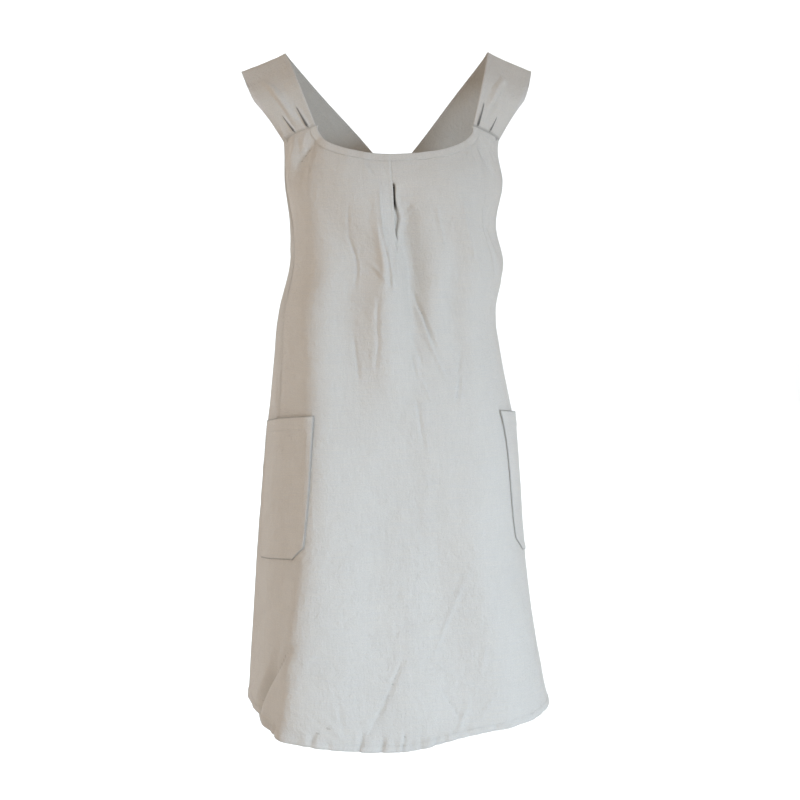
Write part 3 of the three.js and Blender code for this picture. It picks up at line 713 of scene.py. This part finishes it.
def body():
    top, reach = body_columns()
    share = np.linspace(0, 1, BODY_ROWS)
    fall = (share * (1 - ROW_CROWDING + ROW_CROWDING * share))[:, None]
    spread = (HEM_BACK_ANGLE / BACK_ANGLE - 1) * (top / BACK_ANGLE) ** 2
    degrees = top * (1 + spread * fall)
    hem = hem_drop(top * (1 + spread))
    down = upper_drop(top) + (hem - upper_drop(top)) * fall
    grid = cloth(degrees, down)
    walked = walk_across(grid, degrees, np.abs(top[:-1] + top[1:]) < 2 * reach)

    # Distances in mm from each edge, where the cloth is turned over and worn
    below = down - upper_drop(top)
    above = hem - down
    from_back = np.minimum(walked - walked[:, :1], walked[:, -1:] - walked)
    slope = np.gradient(upper_drop(top), np.radians(top) * WING_RADIUS)
    from_arm = np.where(np.abs(top) > ARM_ANGLE, below / np.hypot(1, slope), NO_EDGE)
    from_seam = np.where(np.abs(top) >= NECK_ANGLE - 0.1, below, NO_EDGE)
    turned = [smooth(above, HEM_TURN + 1.2, HEM_TURN - 0.6)]
    for distance, width in ((from_back, BACK_TURN), (from_arm, EDGE_TURN), (from_seam, EDGE_TURN)):
        turned.append(smooth(distance, width + 1.5, width - 0.5))
    wall = CLOTH + (HEM_CLOTH - CLOTH) * np.maximum.reduce(turned)
    wear = np.exp(-np.minimum.reduce([above, from_back, from_arm]) / WEAR_WIDTH)

    # Painted shade at the bottom of the pleat's upper part, where it is closed
    radius = np.linalg.norm(cloth(degrees, down, detail=False)[..., :2], axis=-1)
    shut, opened = SLIT_TOP_DROP + 0.32 * SLIT_LENGTH, SLIT_TOP_DROP + 0.46 * SLIT_LENGTH
    deep = smooth(-centre_pleat(degrees, down, radius)[0], 2, 8) * (1 - 0.8 * smooth(down, shut, opened))
    uv = np.stack([walked, down], -1)
    piece = sheet("apron_cloth", grid, wall, uv, wear, CLOTH_LINEN, deep=deep, skip=2)

    normals = grid_normals(grid)
    surface = grid + normals * wall[..., None] / 2
    middle = len(top) // 2
    used = np.arange(6, BODY_ROWS - 1)
    for first, last in ((0, middle), (middle, len(top))):
        picks = first + np.abs(from_back[used, first:last] - BACK_TURN + STITCH_INSET).argmin(axis=1)
        stitch_line(surface[used, picks], normals[used, picks])
    return piece


def surface_line(degrees, down, offset):
    points = cloth(degrees, down)
    normals = cloth_normal(degrees, down)
    return points + normals * offset, normals


def edge_stitches():
    """Stitches along the hem, the strap seams and the armholes."""
    a = np.linspace(-HEM_BACK_ANGLE, HEM_BACK_ANGLE, 700)
    stitch_line(*surface_line(a, hem_drop(a) - HEM_TURN + 1.2, HEM_CLOTH / 2))
    inset = EDGE_TURN - 1.4
    for side in (-1, 1):
        a = side * np.linspace(NECK_ANGLE + 0.6, ARM_ANGLE - 0.6, 60)
        for below in (1.6, inset):
            stitch_line(*surface_line(a, upper_drop(a) + below, HEM_CLOTH / 2), **SEAM_STITCH)
        a = side * np.linspace(ARM_ANGLE + 1, BACK_ANGLE - 4, 300)
        slope = np.gradient(upper_drop(a), np.radians(a) * WING_RADIUS)
        reach = np.hypot(1, slope)
        shift = np.degrees(-inset * slope / reach / WING_RADIUS)
        stitch_line(*surface_line(a + shift, upper_drop(a) + inset / reach, HEM_CLOTH / 2))


# Neck band

def neck_band():
    """The facing along the neckline, its edges at right angles to the neckline at every place."""
    columns, rows = 260, 9
    a = NECK_ANGLE * np.sin(np.linspace(-0.5, 0.5, columns) * math.pi * 0.999)
    edge = upper_drop(a)
    radius = np.linalg.norm(cloth(a, edge, detail=False)[:, :2], axis=1)
    along = np.stack([np.gradient(np.radians(a)) * radius, np.gradient(edge)], 1)
    along /= np.linalg.norm(along, axis=1)[:, None]
    inward = np.stack([-along[:, 1], along[:, 0]], 1)
    across = np.linspace(-0.35, BAND_WIDTH, rows)[:, None]
    degrees = a + np.degrees(across * inward[:, 0] / radius)
    down = edge + across * inward[:, 1]
    down = np.where(np.abs(degrees) > NECK_ANGLE, np.maximum(down, upper_drop(degrees) + 0.4), down)
    share = np.linspace(0, 1, rows)[:, None]
    crown = BAND_CROWN * np.sin(np.pi * np.clip(share, 0, 1)) ** 0.5
    walked = np.cumsum(np.hypot(np.gradient(np.radians(a)) * radius, np.gradient(edge)))
    ripple = BAND_RIPPLE * puckers(walked, 31, 9)[None, :] * np.sin(np.pi * share)
    offset = CLOTH / 2 + BAND_CLOTH / 2 + SEWN_GAP + crown + ripple
    grid = cloth(degrees, down) + cloth_normal(degrees, down) * offset[..., None]
    wall = np.full(grid.shape[:2], BAND_CLOTH)
    uv = np.stack(np.broadcast_arrays(walked[None], across + 400), -1)
    wear = np.broadcast_to(np.exp(-share * BAND_WIDTH / 1.5), grid.shape[:2]).copy()
    piece = sheet("neck_facing", grid, wall, uv, wear, BAND_LINEN)
    normals = grid_normals(grid)
    for r in (1, rows - 2):
        stitch_line(grid[r, 2:-2] + normals[r, 2:-2] * BAND_CLOTH / 2, normals[r, 2:-2], **SEAM_STITCH)
    return piece


# Straps

def centripetal(points, t):
    """Centripetal Catmull-Rom curve, open, at parameters from 0 to 1, with its direction."""
    points = np.asarray(points)
    count = len(points) - 1
    place = np.clip(t, 0, 1) * count
    i = np.minimum(place.astype(int), count - 1)
    w = place - i
    first = 2 * points[0] - points[1]
    last = 2 * points[-1] - points[-2]
    padded = np.concatenate([[first], points, [last]])
    p0, p1, p2, p3 = padded[i], padded[i + 1], padded[i + 2], padded[i + 3]
    dt0 = np.maximum(np.linalg.norm(p1 - p0, axis=1), 1e-4) ** 0.5
    dt1 = np.maximum(np.linalg.norm(p2 - p1, axis=1), 1e-4) ** 0.5
    dt2 = np.maximum(np.linalg.norm(p3 - p2, axis=1), 1e-4) ** 0.5
    dt0, dt1, dt2 = dt0[:, None], dt1[:, None], dt2[:, None]
    t1 = ((p1 - p0) / dt0 - (p2 - p0) / (dt0 + dt1) + (p2 - p1) / dt1) * dt1
    t2 = ((p2 - p1) / dt1 - (p3 - p1) / (dt1 + dt2) + (p3 - p2) / dt2) * dt1
    w = w[:, None]
    c2 = -3 * p1 + 3 * p2 - 2 * t1 - t2
    c3 = 2 * p1 - 2 * p2 + t1 + t2
    return p1 + t1 * w + c2 * w ** 2 + c3 * w ** 3


def seam_point(degrees):
    """Where a strap's end is sewn, just behind the cloth's upper edge."""
    down = upper_drop(degrees)
    edge = cloth(degrees, down, detail=False)
    up = unit(cloth(degrees, down - 2, detail=False) - cloth(degrees, down + 2, detail=False))
    side = cloth(degrees + 0.8, down, detail=False) - cloth(degrees - 0.8, down, detail=False)
    return edge - up * SEAM_OVERLAP - unit(np.cross(side, up)) * SEAM_DEPTH


# Pleats sewn into a strap's front end, from the arm side: place across (share), length (mm), depth (mm)
SLITS = {-1: ((0.57, 36, 2.4), (0.87, 40, 2.4)), 1: ((0.62, 31, 2.4), (0.935, 42, 2.4))}
SLIT_COLUMNS = np.array([-3.4, -2.4, -1.7, -1.3, -0.9, 0, 0.9, 1.3, 1.7, 2.4, 3.4])
SLIT_CLEAR = 3.9  # no other column is nearer to a pleat than this, mm
# half width of the painted shade inside a sewn pleat, mm
SLIT_HALF = 1.2
SLIT_DRIFT = -0.55  # of the sewn pleats towards the arm side, share per 100 mm
SLIT_LIP = 0.9
PAINTED_SEAM_SHADOW = {-1: 0.25, 1: 0.5}  # how dark the painted shadow along the seam to the body is
# Soft folds: place across (share), drift (share per 100 mm), start and end (mm from the seam), depth and
# width (mm)
SOFT_FOLDS = {
    -1: ((0.72, -0.42, 14, 105, 4.8, 4.5), (0.2, 0, 0, 26, 1.8, 4.0)),
    1: ((0.9, -0.42, 24, 100, 4.8, 5.0), (0.72, -0.3, 8, 60, -2.2, 3.5), (0.25, 0, 0, 24, 1.8, 4.0)),
}
STRAP_ROWS, STRAP_COLUMNS = 250, 80
STRAP_CREASES = 26
STRAP_EDGE = 0.5  # how much thicker a strap's folded edge is
STRAP_CUP = 0.9  # how far a strap's middle rises over its edges


def strap_rails(side):
    """Points along a strap's neck edge and arm edge, from its front seam to its back seam."""
    neck, arm = [seam_point(side * NECK_ANGLE)], [seam_point(side * ARM_ANGLE)]
    for out, fore, drop, middle, tilt, swing, width in STRAP_STATIONS:
        lift = side * math.exp(-((out / CROSSING_REACH) ** 2)) * (STRAP_WALL + CROSSING_CLEARANCE) / 2
        ridge = SHOULDER_LIFT * max(out, 0) if side > 0 else 0
        centre = np.array([
            (middle + side * out) * HALF_BREADTH, fore * HALF_DEPTH + lift, ridge - drop * LENGTH])
        level = math.sqrt(1 - swing * swing)
        slope = math.radians(tilt)
        reach = np.array([-side * math.cos(slope) * level, swing, math.sin(slope) * level])
        reach *= width * STRAP_WIDTH / 2
        neck.append(centre + reach)
        arm.append(centre - reach)
    neck.append(seam_point(-side * WING_ANGLE))
    arm.append(seam_point(-side * BACK_ANGLE))
    return neck, arm


def strap_columns(side):
    """Places across a strap, from its arm side, closer together at the sewn pleats."""
    places = [place for place, _, _ in SLITS[side]]
    plain = np.linspace(0, 1, STRAP_COLUMNS)
    clear = np.all([np.abs(plain - place) > SLIT_CLEAR / STRAP_WIDTH for place in places], axis=0)
    beside = [place + SLIT_COLUMNS / STRAP_WIDTH for place in places]
    return np.sort(np.concatenate([plain[clear], *beside]))


def strap_relief(side, s, across, place_across, total):
    """Depth of the pleats, folds and creases of a strap, and the painted shade inside the pleats and along
    the front seam.
    """
    depth = np.zeros_like(place_across)
    painted_shade = np.zeros_like(place_across)
    for place, length, deep in SLITS[side]:
        aside = (across - place) * STRAP_WIDTH
        run = np.clip(1 - s / length, 0, 1) ** 0.6 * smooth(s, 6, 10)
        lip = SLIT_LIP * np.exp(-((np.abs(aside) - 3.8) / 2.0) ** 2)
        depth += run * (deep * np.exp(-(aside / 1.6) ** 2) - lip)
        # Painted shade inside each sewn pleat, narrowing towards its end
        half = run * SLIT_HALF
        painted_shade = np.maximum(painted_shade, smooth(run, 0, 0.3) * smooth(np.abs(aside), half + 0.5, half - 0.3))
    # Painted shadow in the crease where the strap goes under the body's edge
    seam_shadow = PAINTED_SEAM_SHADOW[side] * smooth(s, SEAM_OVERLAP + 3.2, SEAM_OVERLAP + 1.2)
    painted_shade = np.maximum(painted_shade, seam_shadow)
    for place, drift, start, end, deep, wide in SOFT_FOLDS[side]:
        aside = (place_across - place - drift * s / 100) * STRAP_WIDTH / wide
        swelling = np.sin(np.pi * np.clip((s - start) / (end - start), 0, 1))
        run = swelling if start else np.clip(1 - s / end, 0, 1)
        depth += deep * run * np.exp(-aside ** 2)
    rng = np.random.default_rng(50 + side)
    for _ in range(STRAP_CREASES):
        cs, ca = rng.uniform(20, total - 10), rng.uniform(0, 1)
        angle = rng.normal(0.2, 0.5)
        ds, da = s - cs, (place_across - ca) * STRAP_WIDTH
        run = (ds * math.cos(angle) + da * math.sin(angle)) / rng.uniform(18, 46)
        off = (da * math.cos(angle) - ds * math.sin(angle)) / rng.uniform(3, 7)
        depth += rng.uniform(0.25, 0.7) * rng.choice([-1, 1]) * np.exp(-run ** 2 - off ** 2)
    return depth, painted_shade


def strap(side):
    neck_rail, arm_rail = strap_rails(side)
    t = np.linspace(0, 1, STRAP_ROWS)
    neck, arm = centripetal(neck_rail, t), centripetal(arm_rail, t)
    middle_line = (neck + arm) / 2
    walked = np.concatenate([[0], np.cumsum(np.linalg.norm(np.diff(middle_line, axis=0), axis=1))])
    total = walked[-1]
    inward = unit(np.cross(unit(np.gradient(middle_line, axis=0)), unit(neck - arm))) * side
    columns = strap_columns(side)
    s, across = walked[:, None], columns[None]
    lean = SLIT_DRIFT * np.minimum(s, 70) / 100 * smooth(s, 200, 60)
    place_across = across + lean * (1 - np.abs(2 * across - 1) ** 3)
    grid = arm[:, None] * (1 - place_across[..., None]) + neck[:, None] * place_across[..., None]

    # Both ends follow the bowed edge of the cloth that they are sewn to
    for end, angles, weight in (
            (0, side * (ARM_ANGLE + (NECK_ANGLE - ARM_ANGLE) * columns), fade(t)),
            (-1, -side * (BACK_ANGLE + (WING_ANGLE - BACK_ANGLE) * columns), fade(1 - t))):
        line = arm_rail[end] * (1 - columns[:, None]) + neck_rail[end] * columns[:, None]
        grid += (seam_point(angles) - line)[None] * weight[:, None, None]

    depth, painted_shade = strap_relief(side, s, across, place_across, total)
    cup = STRAP_CUP * (1 - (2 * place_across - 1) ** 2) * smooth(s, 30, 80) * smooth(total - s, 30, 80)
    grid += inward[:, None] * ((depth * smooth(total - s, 2, 20) - cup)[..., None])
    edge = np.minimum(place_across, 1 - place_across) * STRAP_WIDTH
    wall = STRAP_CLOTH + STRAP_EDGE * np.exp(-((edge - 1.2) / 1.3) ** 2)
    uv = np.stack([place_across * STRAP_WIDTH + 900 * side, np.broadcast_to(s, grid.shape[:2])], -1)
    fields = [grid, wall, uv, np.exp(-edge / 1.5), painted_shade]
    if side > 0:
        fields = [field[:, ::-1] for field in fields]
    grid, wall, uv, wear, painted_shade = (np.ascontiguousarray(field[::-1]) for field in fields)
    name = "left_strap_cloth" if side < 0 else "right_strap_cloth"
    piece = sheet(name, grid, wall, uv, wear, STRAP_LINEN, deep=painted_shade)
    normals = grid_normals(grid)
    for c in (3, -4):
        for face in (1, -1):
            out = face * normals[3:-3, c]
            stitch_line(grid[3:-3, c] + out * wall[3:-3, c, None] / 2, out)
    for r in (4, -5):
        stitch_line(grid[r] + normals[r] * wall[r][:, None] / 2, normals[r], **SEAM_STITCH)
    return piece


# Pockets

POCKET_GAPE = 3.2
POCKET_CORNER_GAPE = 1.6
POCKET_SWELL = 0.3
POCKET_RIM_SHADOW = 0.5  # how dark the painted shadow along the outermost rim is
POCKET_STITCH_COLUMN = 1
CUT_SLANT = 0.7071  # how near a cut corner's edge is, per mm to it across: the cut runs at 45 degrees


def pocket(side):
    """A patch pocket over the cloth's side, with a hemmed mouth that gapes a little."""
    rows, columns = 90, 84
    high, half = POCKET_HEIGHT / 2, POCKET_WIDTH / 2
    above = np.linspace(high, -high, rows)[:, None]
    narrow = np.clip(POCKET_CORNER - (above + high), 0, None)
    aside = np.linspace(-1, 1, columns)[None] * (half - narrow)
    across = aside + side * above * math.tan(math.radians(POCKET_LEAN))
    down = POCKET_DROP + high - above + side * aside * math.tan(math.radians(POCKET_SLOPE))
    centre = np.full_like(down, side * POCKET_ANGLE)
    radius = np.linalg.norm(cloth(centre, down, detail=False)[..., :2], axis=-1)
    degrees = side * POCKET_ANGLE + np.degrees(across / radius)
    share = aside / half
    from_top = high - above
    edge = np.minimum.reduce([half - narrow - np.abs(aside), above + high + 0 * aside])
    edge = np.minimum(edge, np.where(narrow > 0, (half - narrow - np.abs(aside)) * CUT_SLANT, NO_EDGE))
    gape = POCKET_GAPE * (1 - np.abs(share) ** 3) * np.exp(-from_top / 34)
    gape += POCKET_CORNER_GAPE * np.exp(-((share + side * 0.86) / 0.16) ** 2) * np.exp(-from_top / 40)
    hemmed = smooth(from_top, POCKET_HEM + 1, POCKET_HEM - 1)
    turned = smooth(edge, 8.6, 7.4)
    layers = 1 + 0.75 * np.maximum(hemmed, turned)
    wall = CLOTH * layers
    swell = POCKET_SWELL * np.exp(-((edge - 5) / 3.5) ** 2)
    offset = CLOTH / 2 + wall / 2 + SEWN_GAP + gape + swell
    grid = cloth(degrees, down) + cloth_normal(degrees, down) * offset[..., None]
    uv = np.stack([aside + 2000 + 400 * side, from_top + 0 * aside], -1)
    wear = np.maximum(np.exp(-edge / 1.8), np.exp(-from_top / 1.8) + 0 * aside)
    # Painted shadow along the pocket's outermost rim
    rim = POCKET_RIM_SHADOW * smooth(np.minimum(edge, from_top), 1.6, 0)
    name = "left_patch_pocket" if side < 0 else "right_patch_pocket"
    piece = sheet(name, grid, wall, uv, 0.3 * wear, CLOTH_LINEN, deep=rim)
    normals = grid_normals(grid)
    outside = grid + normals * wall[..., None] / 2
    r = int(np.argmin(np.abs(from_top[:, 0] - POCKET_HEM + STITCH_INSET)))
    stitch_line(outside[r, 2:-2], normals[r, 2:-2])
    c = POCKET_STITCH_COLUMN
    path = [(q, c) for q in range(2, rows - 2)] + [(rows - 2, q) for q in range(c, columns - c)]
    path += [(q, columns - 1 - c) for q in range(rows - 2, 1, -1)]
    picks = np.array(path)
    stitch_line(outside[picks[:, 0], picks[:, 1]], normals[picks[:, 0], picks[:, 1]])
    return piece


apron_cloth = body()
edge_stitches()
band = neck_band()
straps = {side: strap(side) for side in (-1, 1)}
pockets = {side: pocket(side) for side in (-1, 1)}
stitching = build_stitches(THREAD)

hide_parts("body")
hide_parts("neck_band")
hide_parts("strap_left")
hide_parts("strap_right")
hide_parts("pocket_left")
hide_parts("pocket_right")


# Stage, light, camera

def plain(name, tone, rough):
    material = bpy.data.materials.new(name)
    n = Nodes(material)
    place = n.add("ShaderNodeTexCoord").outputs["Object"]
    speck = n.noise(place, 40, 3)
    colour = n.add("ShaderNodeMix", {"Factor": speck, "A": (*[t * 0.99 for t in tone], 1), "B": (*tone, 1)},
                   data_type="RGBA")
    shader = n.add("ShaderNodeBsdfPrincipled", {"Base Color": colour.outputs[2], "Roughness": rough})
    n.add("ShaderNodeOutputMaterial", {"Surface": shader.outputs[0]})
    return material


# Lamps: place, aim, size (m), power, colour, spread (degrees)
LAMPS = {
    "key": ((3.35, -4.85, -0.7), (0, 0, -1.0), (1.6, 1.6), 11.7, (0.60, 0.79, 1.0), 30),
    "backdrop": ((0, 0.9, 2.6), (0, 2.4, -0.6), (5.5, 0.8), 50.0, (0.85, 0.93, 1.0), 70),
}
# Room light: its power from the sides and from above, and a side towards which it is dimmer
WORLD_POWER = 1.25
ZENITH_POWER = 0.34
DIM_SIDE = (0.6, -0.8, 0)
DIM_SHARE = 0.38
ROOM_TONE = (1.0, 0.905, 0.825, 1)
# Backdrop in metres: floor height, radius of its turn, distance behind the apron, half width, and its ends
FLOOR, FLOOR_TURN, FLOOR_DEPTH, FLOOR_HALF = -1.6, 0.9, 2.4, 7.0
FLOOR_FRONT, FLOOR_TOP = -6.0, 5.0


def studio():
    # Floor that curves up into a backdrop, well below the hem and behind the apron
    back = FLOOR_DEPTH - FLOOR_TURN
    profile = [(FLOOR_FRONT, FLOOR), (back, FLOOR)]
    profile += [(back + FLOOR_TURN * math.sin(a), FLOOR + FLOOR_TURN * (1 - math.cos(a)))
                for a in np.linspace(0, math.pi / 2, 24)[1:]]
    profile += [(FLOOR_DEPTH, FLOOR_TOP)]
    points = [(x, y, z) for y, z in profile for x in (-FLOOR_HALF, FLOOR_HALF)]
    faces = [(2 * i, 2 * i + 1, 2 * i + 3, 2 * i + 2) for i in range(len(profile) - 1)]
    mesh = bpy.data.meshes.new("studio_floor")
    mesh.from_pydata(points, [], faces)
    mesh.polygons.foreach_set("use_smooth", [True] * len(mesh.polygons))
    floor = add_object("studio_floor", mesh, plain("pale_paper", (0.93, 0.93, 0.93), 0.9))

    world = bpy.data.worlds.new("studio")
    bpy.context.scene.world = world
    world.use_nodes = True
    nodes, links = world.node_tree.nodes, world.node_tree.links
    background = nodes["Background"]
    sky = nodes.new("ShaderNodeTexCoord").outputs["Generated"]
    powers = []
    for direction, near, far in (((0, 0, 1), WORLD_POWER, ZENITH_POWER), (DIM_SIDE, 1.0, DIM_SHARE)):
        toward = nodes.new("ShaderNodeVectorMath")
        toward.operation = "DOT_PRODUCT"
        toward.inputs[1].default_value = direction
        links.new(sky, toward.inputs[0])
        power = nodes.new("ShaderNodeMapRange")
        power.inputs["To Min"].default_value = near
        power.inputs["To Max"].default_value = far
        links.new(toward.outputs["Value"], power.inputs["Value"])
        powers.append(power.outputs[0])
    product = nodes.new("ShaderNodeMath")
    product.operation = "MULTIPLY"
    links.new(powers[0], product.inputs[0])
    links.new(powers[1], product.inputs[1])
    links.new(product.outputs[0], background.inputs[1])
    background.inputs[0].default_value = ROOM_TONE

    for name, (place, aim, size, power, tone, spread) in LAMPS.items():
        data = bpy.data.lights.new(name, "AREA")
        data.shape = "RECTANGLE"
        data.size, data.size_y = size
        data.energy = power
        data.color = tone
        data.spread = math.radians(spread)
        lamp = bpy.data.objects.new(name, data)
        lamp.location = place
        lamp.rotation_euler = (Vector(aim) - Vector(place)).to_track_quat("-Z", "Y").to_euler()
        bpy.context.scene.collection.objects.link(lamp)


# Camera in metres and degrees, and the picture's scale at the aim
CAMERA_AIM = (0.012, 0, -0.469)
CAMERA_AZIMUTH = -5
CAMERA_DISTANCE = 2.65
CAMERA_HEIGHT = -0.2
PICTURE_PIXELS = 800
PIXEL = 0.0014


def camera():
    aim = Vector(CAMERA_AIM)
    azimuth, rise = math.radians(CAMERA_AZIMUTH), CAMERA_HEIGHT - aim.z
    level = math.sqrt(CAMERA_DISTANCE ** 2 - rise ** 2)
    place = aim + Vector((math.sin(azimuth) * level, -math.cos(azimuth) * level, rise))
    data = bpy.data.cameras.new("camera")
    data.sensor_width = 36
    data.sensor_fit = "HORIZONTAL"
    data.lens = data.sensor_width * CAMERA_DISTANCE / (PIXEL * PICTURE_PIXELS)
    data.clip_start, data.clip_end = 0.05, 50
    eye = bpy.data.objects.new("camera", data)
    eye.location = place
    eye.rotation_euler = (aim - place).to_track_quat("-Z", "Y").to_euler()
    bpy.context.scene.collection.objects.link(eye)
    bpy.context.scene.camera = eye


studio()
camera()
bpy.context.scene.view_settings.view_transform = "Standard"
